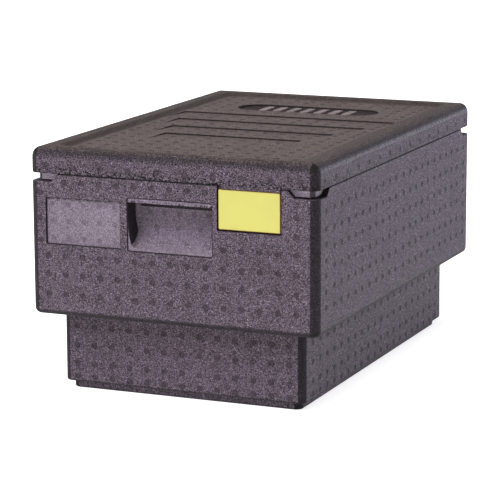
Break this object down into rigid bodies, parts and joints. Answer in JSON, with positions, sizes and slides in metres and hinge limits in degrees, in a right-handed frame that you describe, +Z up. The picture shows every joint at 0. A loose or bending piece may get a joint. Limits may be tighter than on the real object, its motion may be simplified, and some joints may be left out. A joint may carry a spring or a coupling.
{
  "type": "insulated food carrier",
  "caption": "Stepped top-loading foam food carrier with a lift-off lid, end hand holds, corner finger notches, a label recess and a push-in identification tag.",
  "frame": {"origin": "middle of the footprint, on the surface that the carrier stands on", "axes": "+Z up, +X to the right-hand long side seen from the front, -Y towards the end with the tag, +Y towards the rear end"},
  "size_m": [0.4, 0.6, 0.324],
  "materials": {
    "box_foam": "fused bead foam, fine satin grain",
    "lid_foam": "fused bead foam, fine satin grain",
    "tag_plastic": "smooth satin"
  },
  "bodies": {
    "box": {"box_body": "box_foam"},
    "lid": {"lid": "lid_foam"},
    "tag": {"id_tag": "tag_plastic"}
  },
  "joints": [
    {"name": "lid_lift", "type": "slide", "parent": "box", "child": "lid", "axis": [0, 0, 1], "range_m": [0, 0.12]},
    {"name": "tag_pull", "type": "slide", "parent": "box", "child": "tag", "axis": [0, -1, 0], "range_m": [0, 0.03]}
  ]
}
